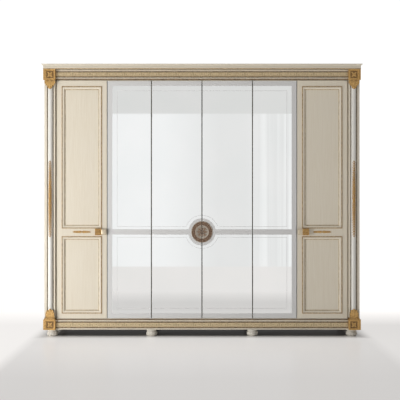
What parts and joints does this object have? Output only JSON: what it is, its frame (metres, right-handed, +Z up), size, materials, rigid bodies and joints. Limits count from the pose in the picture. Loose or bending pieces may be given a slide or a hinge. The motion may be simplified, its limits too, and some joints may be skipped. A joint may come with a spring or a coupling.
{
  "type": "armoire",
  "caption": "Wide classical wardrobe with mirror doors between framed side doors, gilded corner ornaments, key-pattern friezes and bun feet.",
  "frame": {"origin": "middle of the footprint, on the floor", "axes": "+X to the right seen from the front, -Y the front with the doors, +Z up"},
  "size_m": [2.966, 0.69, 2.522],
  "materials": {
    "cream_lacquer": "cream lacquer with a fine brushed grain and dark patina in the grooves",
    "inner_board": "satin melamine board",
    "gilding": "antiqued gold leaf on carved wood",
    "pale_gilding": "pale rubbed gilding on a carved strip",
    "gilt_metal": "cast, antiqued gold",
    "mirror": "silvered glass with etched satin borders",
    "medallion": "brown and grey relief",
    "steel": "satin",
    "catch_plastic": "matt grey"
  },
  "bodies": {
    "carcass": {"side_panel_left": "cream_lacquer", "side_panel_right": "cream_lacquer", "partition_left": "inner_board", "partition_right": "inner_board", "top_panel": "inner_board", "bottom_panel": "inner_board", "back_panels": "inner_board", "stop_stiles": "cream_lacquer", "plinth_cross_rails": "inner_board", "plinth_long_rails": "inner_board", "plinth_front": "cream_lacquer", "plinth_returns": "cream_lacquer", "plinth_key_band": "pale_gilding", "frieze_rail": "cream_lacquer", "frieze_returns": "cream_lacquer", "frieze_key_band": "pale_gilding", "cornice_front": "cream_lacquer", "cornice_returns": "cream_lacquer", "pilaster_left": "cream_lacquer", "pilaster_right": "cream_lacquer", "capital_left": "gilding", "capital_right": "gilding", "base_left": "gilding", "base_right": "gilding", "garland_left": "gilding", "garland_right": "gilding", "front_feet": "cream_lacquer", "rear_feet": "cream_lacquer", "shelves": "inner_board", "shelf_pins": "steel", "hanging_rails": "steel", "rail_sockets": "steel", "pivot_sockets": "steel", "push_catches": "catch_plastic"},
    "left_door": {"left_door_frame": "cream_lacquer", "left_door_panels": "cream_lacquer", "left_door_mouldings": "cream_lacquer", "left_door_applique": "gilding", "left_door_handle": "gilt_metal", "left_door_pivots": "steel"},
    "mirror_door_1": {"mirror_1_board": "cream_lacquer", "mirror_1_glass": "mirror", "mirror_1_pivots": "steel"},
    "mirror_door_2": {"mirror_2_board": "cream_lacquer", "mirror_2_glass": "mirror", "mirror_2_pivots": "steel", "medallion_left": "medallion"},
    "mirror_door_3": {"mirror_3_board": "cream_lacquer", "mirror_3_glass": "mirror", "mirror_3_pivots": "steel", "medallion_right": "medallion"},
    "mirror_door_4": {"mirror_4_board": "cream_lacquer", "mirror_4_glass": "mirror", "mirror_4_pivots": "steel"},
    "right_door": {"right_door_frame": "cream_lacquer", "right_door_panels": "cream_lacquer", "right_door_mouldings": "cream_lacquer", "right_door_applique": "gilding", "right_door_handle": "gilt_metal", "right_door_pivots": "steel"}
  },
  "joints": [
    {"name": "left_door_hinge", "type": "hinge", "parent": "carcass", "child": "left_door", "pos_m": [-1.346, -0.28, 1.267], "axis": [0, 0, -1], "range_deg": [0, 95]},
    {"name": "mirror_door_1_hinge", "type": "hinge", "parent": "carcass", "child": "mirror_door_1", "pos_m": [-0.476, -0.28, 1.267], "axis": [0, 0, 1], "range_deg": [0, 88]},
    {"name": "mirror_door_2_hinge", "type": "hinge", "parent": "carcass", "child": "mirror_door_2", "pos_m": [-0.464, -0.28, 1.267], "axis": [0, 0, -1], "range_deg": [0, 88]},
    {"name": "mirror_door_3_hinge", "type": "hinge", "parent": "carcass", "child": "mirror_door_3", "pos_m": [0.464, -0.28, 1.267], "axis": [0, 0, 1], "range_deg": [0, 88]},
    {"name": "mirror_door_4_hinge", "type": "hinge", "parent": "carcass", "child": "mirror_door_4", "pos_m": [0.476, -0.28, 1.267], "axis": [0, 0, -1], "range_deg": [0, 88]},
    {"name": "right_door_hinge", "type": "hinge", "parent": "carcass", "child": "right_door", "pos_m": [1.346, -0.28, 1.267], "axis": [0, 0, 1], "range_deg": [0, 95]}
  ]
}
